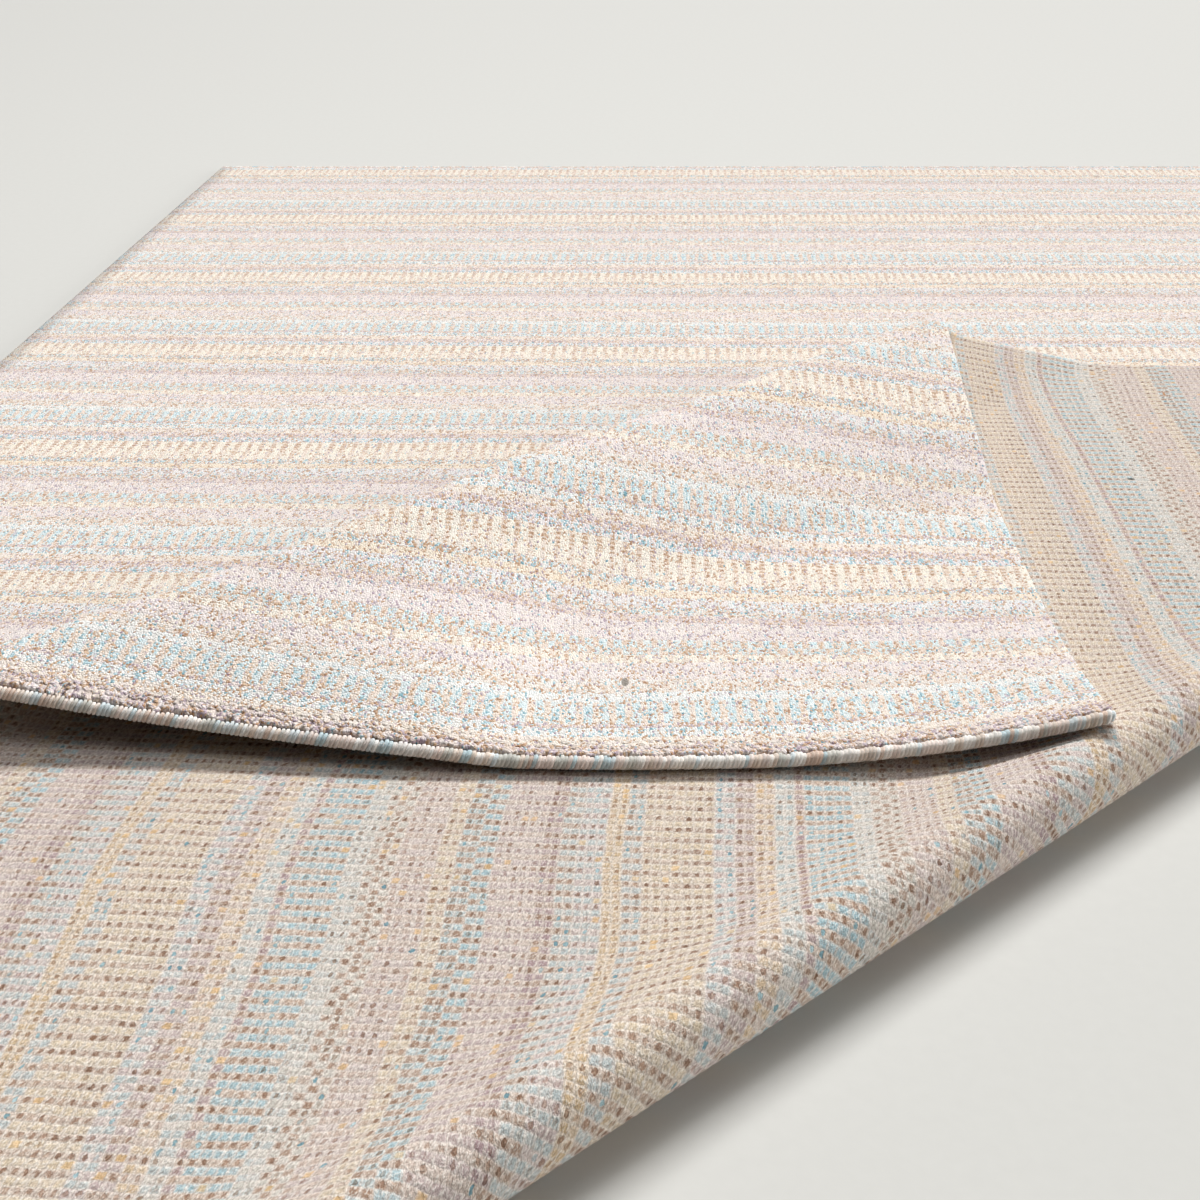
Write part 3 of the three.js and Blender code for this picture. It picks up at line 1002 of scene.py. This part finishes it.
# %% [markdown]
# ## Where a cord runs
#
# Each end of the rug is whipped: yarn is wound round the last warps, strand beside strand. The cord lies just
# off the cloth's end, and where the cloth is front up it is lifted a little, because it is thicker than the
# cloth and can't sink into the floor. The strands come in bundles of two to five of one colour, and a bundle
# bulges in its middle.

# %% Where a cord runs
STRAND = 0.0021


def cord_line(outwards, x):
    """Middle of a cord at places along the end, with its directions."""
    place, front, ahead = laid(x, outwards * LENGTH / 2 + 0 * x)
    sideways = outwards * rug_directions(ahead)[1]
    lift = (CORD_RADIUS - THICKNESS / 2) * (1 + front[:, 2]) / 2
    middle = place + sideways * (CORD_GAP + CORD_RADIUS) + front * lift[:, None]
    tangent = np.gradient(middle, axis=0)
    tangent /= np.linalg.norm(tangent, axis=1)[:, None]
    return middle, tangent, sideways, front


def bundles(count):
    """The number of each strand's bundle, and how full the bundle is there. It has two to five strands."""
    sizes = chance.integers(2, 6, size=count)
    number = np.repeat(np.arange(count), sizes)[:count]
    within = np.concatenate([(np.arange(size) + 0.5) / size for size in sizes])[:count]
    return number.astype(float), np.sin(math.pi * within)


print("A cord has", round(WIDTH / STRAND), "strands")

# %% [markdown]
# ## The cord's yarn
#
# The whipping was sewn with whatever ends of yarn were left, so a bundle takes its colour by chance from a
# short list, and about four in ten of its strands differ from it. The fibres show as faint darker lines.

# %% Cord material
CORD_YARNS = [  # each colour, and where its share of the chances starts
    (0.00, linear(244, 239, 232)),
    (0.20, linear(229, 213, 198)),
    (0.36, linear(236, 221, 212)),
    (0.52, linear(246, 243, 238)),
    (0.66, linear(214, 225, 228)),
    (0.78, linear(206, 206, 198)),
    (0.88, linear(192, 214, 220)),
    (0.94, linear(218, 192, 174)),
]
cord_material, cord_yarn = new_material("wound_cord_yarn")
bundle = cord_yarn.chance(cord_yarn.join(cord_yarn.carried("yarn", "Fac"), 7.0, 1.0), "Value")
strand = cord_yarn.parts(cord_yarn.chance(cord_yarn.join(cord_yarn.carried("strand", "Fac"), 2.0, 5.0)))
of_bundle, of_strand = (cord_yarn.steps(pick, CORD_YARNS) for pick in (bundle, strand[1]))
yarn = cord_yarn.mix(strand[0] < 0.38, of_bundle, of_strand)
yarn = cord_yarn.shaded(yarn, strand[2] * 0.26 + 0.92)
fibre = cord_yarn.noise(cord_yarn.place(), 1100.0, 2.0, 0.65)
yarn = cord_yarn.mix(cord_yarn.smooth(fibre, 0.44, 0.62, 0.0, 0.22), yarn, linear(182, 166, 156))
cord_yarn.wear(yarn, 0.9, 0.15, 0.25)
cord_yarn.raise_by(fibre, 0.6, 0.0005)
print("Cord yarns:", len(CORD_YARNS))

# %% [markdown]
# ## Winding the cords
#
# A strand that winds round a cord could be one long coil. Here each turn is a ring of its own, slightly
# slanted, because a ring is the same shape every time and a coil isn't. So the tree is short: one ring, set
# on points 2.1 mm apart along the cord. At both ends of the cord the rings shrink, and close it.

# %% The tree that winds a cord, and both cords
FULLNESS = 0.57  # a strand's radius as a part of the room it has, so that neighbours press together
END_FADE, END_SIZE = 0.003, 0.55  # how far from its ends the cord thins, and to what part of its size
BULGE, BULGE_IN, BULGE_UP = 0.14, 0.0006, 0.0003  # a full bundle is thicker, and lies closer and higher
WINDING = {"Cord radius": CORD_RADIUS, "Strand": STRAND, "Slant": -0.52, "Sides": 12}
wind = Growth("wind_yarn_round_cord", WINDING)
half = wind.given["Strand"] * FULLNESS
ring_sizes = {"Radius": wind.given["Cord radius"] - half, "Resolution": wind.given["Sides"]}
ring = wind.get("GeometryNodeCurvePrimitiveCircle", inputs=ring_sizes)
section = wind.get("GeometryNodeCurvePrimitiveCircle", inputs={"Radius": half, "Resolution": 6})
turn = wind.get("GeometryNodeCurveToMesh", ring, section)
slanted = wind.turned(wind.facing("tangent", "sideways"), wind.join(wind.given["Slant"]))
wind.set_on_points(turn, slanted, wind.named("size"), cord_material)


def wound_cord(name, outwards, sides):
    """One cord of rings."""
    count = round(WIDTH / STRAND)
    x = (np.arange(count) + 0.5) / count * WIDTH - WIDTH / 2
    middle, tangent, sideways, front = cord_line(outwards, x)
    end = np.minimum(1, (WIDTH / 2 - np.abs(x)) / END_FADE)
    group, full = bundles(count)
    size = (END_SIZE + (1 - END_SIZE) * np.sqrt(end)) * (0.95 + BULGE * full)
    size = size * (1 + 0.025 * chance.normal(size=count)).clip(0.94, 1.06)
    middle = middle - sideways * (BULGE_IN * full)[:, None] + front * (BULGE_UP * full)[:, None]
    mesh = points_mesh(
        name,
        middle,
        tangent=tangent,
        sideways=sideways,
        size=np.stack([size, size, 0.9 + 0.15 * chance.random(count)], 1),
        strand=np.arange(count),
        yarn=group,
    )
    return grow(name, mesh, wind, {"Sides": sides})


near_cord = wound_cord("near_end_winding", -1, 12)
far_cord = wound_cord("far_end_winding", 1, 10)

# %% [markdown]
# ## The core of a cord
#
# Inside the winding lies a bundle of warps. It is a plain tube, a little thinner than the winding, that
# shows only as darkness between two strands.

# %% Cores
CORE_RADIUS, CORE_SIDES, CORE_STEPS = CORD_RADIUS - 0.0011, 8, 400


def core(name, outwards):
    """A closed tube along the middle of a cord."""
    x = np.linspace(-WIDTH / 2 + 0.001, WIDTH / 2 - 0.001, CORE_STEPS)
    middle, _, sideways, front = cord_line(outwards, x)
    angles = np.arange(CORE_SIDES) * 2 * math.pi / CORE_SIDES
    cosine, sine = np.cos(angles)[:, None], np.sin(angles)[:, None]
    around = cosine * sideways[:, None] + sine * front[:, None]
    points = (middle[:, None] + CORE_RADIUS * around).reshape(-1, 3)
    faces = []
    for start in range(0, (CORE_STEPS - 1) * CORE_SIDES, CORE_SIDES):
        for k in range(CORE_SIDES):
            a, b = start + k, start + (k + 1) % CORE_SIDES
            faces.append([a, b, b + CORE_SIDES, a + CORE_SIDES])
    last = (CORE_STEPS - 1) * CORE_SIDES
    faces += [list(range(CORE_SIDES))[::-1], [last + k for k in range(CORE_SIDES)]]
    piece = new_piece(name, points.tolist(), faces, [cord_material])
    work = bmesh.new()
    work.from_mesh(piece.data)
    bmesh.ops.recalc_face_normals(work, faces=work.faces)
    work.to_mesh(piece.data)
    work.free()
    return piece


cores = [core("near_end_core", -1), core("far_end_core", 1)]
print("Cores:", [triangles(piece.data) for piece in cores], "triangles")

# %% [markdown]
# ## Tufts beside the near end
#
# Beside the near cord the pile is looser than anywhere else, and it is close to the eye. So there the yarn's
# legs are real shapes: in the three rows of the tip that lie nearest to the end, every stitch has two low
# tufts, side by side and a little askew. Five more stand on the disturbed spot of the front. The points carry
# their place on the flat cloth, so each tuft wears the colour of its own stitch.

# %% Points for the tufts
TUFT_ROWS = 3
TUFT_LEG = 0.25  # how far a leg stands from the middle of its stitch, in stitches
ASTRAY_X, ASTRAY_Y, ASTRAY_TURN = 0.0006, 0.0011, 0.7  # how far a tuft strays, and how far it turns
SIDE_MARGIN, END_SHIFT = 0.0012, 0.0008  # how far tufts keep from the sides, and lean over the cord
SUNK, STANDING = 0.0005, 0.0001  # how deep a tuft sits in the cloth, and how much higher the first row does
# X and Y of the knots on the disturbed spot
KNOTS = np.array([[0.4532, 0.4566, 0.4600, 0.4652, 0.4625], [-0.7395, -0.7428, -0.7412, -0.7400, -0.7440]])


def strays(count):
    """Chances round zero, none of them larger than two."""
    return chance.normal(size=count).clip(-2, 2)


def tuft_points(name):
    """Points of the tufts on the tip, with the few knots that stand out of its face."""
    column, row = np.meshgrid(np.arange(COLUMNS), np.arange(TUFT_ROWS), indexing="ij")
    column, row = np.tile(column.ravel(), 2), np.tile(row.ravel(), 2)
    leg = np.repeat([-TUFT_LEG, TUFT_LEG], len(row) // 2)
    x = (column + 0.5 + leg) * STITCH_X - WIDTH / 2 + ASTRAY_X * strays(len(row))
    y = (row + 0.5) * STITCH_Y - LENGTH / 2 + ASTRAY_Y * strays(len(row))
    x = x.clip(SIDE_MARGIN - WIDTH / 2, WIDTH / 2 - SIDE_MARGIN)
    y = y - np.where(row == 0, END_SHIFT, 0)
    distance, along = past_roll(x, y)
    shown = distance > ridge_start(along)
    x, y = np.concatenate([[x[shown], y[shown]], KNOTS], 1)
    stand = np.concatenate([np.clip(1.1 - 0.30 * row[shown], 0, 1), 0 * KNOTS[0] + 0.5])
    place, front, ahead = laid(x, y)
    rightwards = rug_directions(ahead)[0]
    turn = ASTRAY_TURN * strays(len(x))
    upwards = np.cross(front, rightwards)
    rightwards = rightwards * np.cos(turn)[:, None] + upwards * np.sin(turn)[:, None]
    size = 0.9 + 0.25 * chance.random(len(x))
    length = size * (0.85 + 0.3 * chance.random(len(x)))
    return points_mesh(
        name,
        place + front * (THICKNESS / 2 - SUNK + STANDING * stand)[:, None],
        front=front,
        rightwards=rightwards,
        shape=np.stack([size, length, size * (0.55 + 0.55 * stand)], 1),
        flat=np.stack([x, y - drift(x, y), 0 * x], 1),
        # pile marks the tufts, which the front's finish draws a little darker: painted shade.
        pile=0 * x + 1,
    )


tuft_seeds = tuft_points("near_end_tufts")
print("Points for", len(tuft_seeds.vertices), "tufts")

# %% [markdown]
# ## Raising the tufts
#
# The tree draws one small ball long and flat, and keeps each of its points' own place in an attribute called
# "spot". The front's finish adds that to the tuft's place on the flat cloth, so that the flecks don't smear
# over a whole tuft. A random tilt with a fixed seed sets every tuft a little askew.

# %% The tree that raises the tufts
TUFT_SIZES = {"Width": 0.0038, "Length": 0.0048, "Height": 0.0016, "Tilt": 0.10, "Seed": 21}
raise_tufts = Growth("raise_tufts", TUFT_SIZES)
given = raise_tufts.given
ball = raise_tufts.get("GeometryNodeMeshUVSphere", inputs={"Segments": 8, "Rings": 5, "Radius": 0.5})
drawn_out = {"Geometry": ball, "Scale": raise_tufts.join(given["Width"], given["Length"], given["Height"])}
drawn = raise_tufts.get("GeometryNodeTransform", inputs=drawn_out)
own_place = {"Geometry": drawn, "Name": "spot", "Value": raise_tufts.get("GeometryNodeInputPosition")}
tuft = raise_tufts.get("GeometryNodeStoreNamedAttribute", data_type="FLOAT_VECTOR", inputs=own_place)
tilt_range = {"Min": given["Tilt"] * -1.0, "Max": given["Tilt"], "Seed": given["Seed"]}
tilt = raise_tufts.get("FunctionNodeRandomValue", data_type="FLOAT_VECTOR", inputs=tilt_range)
askew = raise_tufts.turned(raise_tufts.facing("front", "rightwards"), tilt)
raise_tufts.set_on_points(tuft, askew, raise_tufts.named("shape"), front_material)
tufts = grow("near_end_tufts", tuft_seeds, raise_tufts, {})

# %% [markdown]
# ## The turns of the sides
#
# At each side the weft turns round the last warp, once in every row. Each turn is a small fold of yarn that
# covers the side of the cloth, so the same tree can lay them: a ball, drawn tall, on one point for each row.

# %% Side turns
SIDE_SUNK = 0.0004
SIDE_SIZES = {"Width": 0.0026, "Length": 0.0050, "Height": 0.0056, "Tilt": 0.10}
side_material, side_yarn = new_material("side_turn_yarn")
row_place = side_yarn.vector("SNAP", side_yarn.carried("flat"), (0.004, 0.004, 0.004))
yarn = side_yarn.mix(side_yarn.chance(row_place, "Value"), linear(222, 212, 200), linear(238, 234, 228))
fibre = side_yarn.noise(side_yarn.place(), 1200.0, 2.0, 0.65)
yarn = side_yarn.mix(side_yarn.smooth(fibre, 0.40, 0.64, 0.0, 0.35), yarn, linear(196, 182, 168))
side_yarn.wear(yarn, 0.92, 0.15, 0.2)


def side_points(name, side):
    """One point for each row, sunk a little into the side of the cloth."""
    y = (np.arange(ROWS) + 0.5) * STITCH_Y - LENGTH / 2
    x = 0 * y + side * WIDTH / 2
    place, front, ahead = laid(x, y)
    outwards = side * rug_directions(ahead)[0]
    return points_mesh(
        name,
        place - outwards * SIDE_SUNK,
        front=front,
        rightwards=outwards,
        shape=0.9 + 0.2 * chance.random((ROWS, 3)),
        flat=np.stack([x, y, 0 * x], 1),
    )


side_turns = []
for name, side in (("left_side_turns", -1), ("right_side_turns", 1)):
    piece = grow(name, side_points(name, side), raise_tufts, SIDE_SIZES)
    piece.data.materials[0] = side_material
    side_turns.append(piece)

# %% [markdown]
# ## The floor
#
# The rug was photographed on a plain, pale floor. It is part of the studio and not of the rug. It has to be
# large, because the camera looks far over it.

# %% Floor
REACH = 8  # how far the floor goes from the middle
floor_material, floor_paint = new_material("pale_floor")
grit = floor_paint.noise(floor_paint.place(), 140.0, 4.0, 0.6)
floor_paint.wear(floor_paint.mix(grit, linear(201, 200, 195), linear(206, 205, 200)), 0.8)
corners = [(-REACH, -REACH, 0), (REACH, -REACH, 0), (REACH, REACH, 0), (-REACH, REACH, 0)]
floor = new_piece("studio_floor", corners, [[0, 1, 2, 3]], [floor_material])
print("Floor of", 2 * REACH, "m")

# %% [markdown]
# ## The light
#
# The light comes from one long, narrow window, far beyond the rug's far end and as high up as it is far. That
# is why the shadows are soft to the left and right but sharp towards the viewer, and why the hollow under the
# turned tip is dark. A small lamp overhead brightens the middle of the rug, and a large one far off on the
# right fills in the side of the roll. The air adds hardly any light of its own.

# %% Light
scene = bpy.context.scene
scene.view_settings.view_transform = "Standard"
world = bpy.data.worlds.new("studio_air")
world.use_nodes = True
world.node_tree.nodes["Background"].inputs[0].default_value = linear(250, 249, 248)
world.node_tree.nodes["Background"].inputs[1].default_value = 0.02
scene.world = world


def new_lamp(name, wide, high, watts, place, shining):
    """A rectangular lamp at a place, with the direction in which it shines."""
    lamp = bpy.data.lights.new(name, "AREA")
    lamp.shape, lamp.size, lamp.size_y, lamp.energy = "RECTANGLE", wide, high, watts
    stand = bpy.data.objects.new(name, lamp)
    stand.location = place
    stand.rotation_mode = "QUATERNION"
    stand.rotation_quaternion = Vector(shining).to_track_quat("-Z", "Y")
    scene.collection.objects.link(stand)
    print(name, "of", watts, "W at", [round(v, 2) for v in stand.location])


from_window = Vector((-0.05, -0.95, -1.0)).normalized()
new_lamp("window_light", 27, 6.4, 20400, -40 * from_window, from_window)
new_lamp("overhead_lamp", 1.4, 1.4, 16, (-0.4, 0.1, 2.7), (0, 0, -1))
new_lamp("side_fill", 4.7, 4.7, 600, (9.8, -0.9, 2.35), (-9.5, 0.1, -2.35))

# %% [markdown]
# ## The camera
#
# The camera stands low over the near end and looks down over the folded corner. Its place, its three angles
# and its lens follow from the picture: from the rug's edges, which meet at their vanishing points, and from
# the even rows and columns of stitches.

# %% Camera
CAMERA_PLACE = (-0.13176, -1.03459, 0.45110)
yaw, pitch, roll = math.radians(-3.226), math.radians(26.934), math.radians(-0.715)
forward = Vector((math.sin(yaw) * math.cos(pitch), math.cos(yaw) * math.cos(pitch), -math.sin(pitch)))
level = Vector((math.cos(yaw), -math.sin(yaw), 0))
above = level.cross(forward)
across_view = level * math.cos(roll) + above * math.sin(roll)
up_view = above * math.cos(roll) - level * math.sin(roll)
lens = bpy.data.cameras.new("camera")
lens.lens, lens.sensor_width = 50.0, 36.0
lens.clip_start, lens.clip_end = 0.02, 50
camera = bpy.data.objects.new("camera", lens)
facing = Matrix((across_view, up_view, -forward)).transposed()
camera.matrix_world = Matrix.Translation(CAMERA_PLACE) @ facing.to_4x4()
scene.collection.objects.link(camera)
scene.camera = camera
print("Camera looks", round(math.degrees(pitch), 1), "degrees down")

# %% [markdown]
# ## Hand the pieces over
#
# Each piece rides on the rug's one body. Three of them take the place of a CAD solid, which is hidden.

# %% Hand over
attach(cloth, "root")
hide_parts("rug_cloth")
for piece, node in ((near_cord, "near_end_cord"), (far_cord, "far_end_cord")):
    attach(piece, "root")
    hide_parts(node)
for piece in cores:
    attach(piece, "root")
for piece in (tufts, *side_turns):
    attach(piece, "root")

bpy.context.view_layer.update()
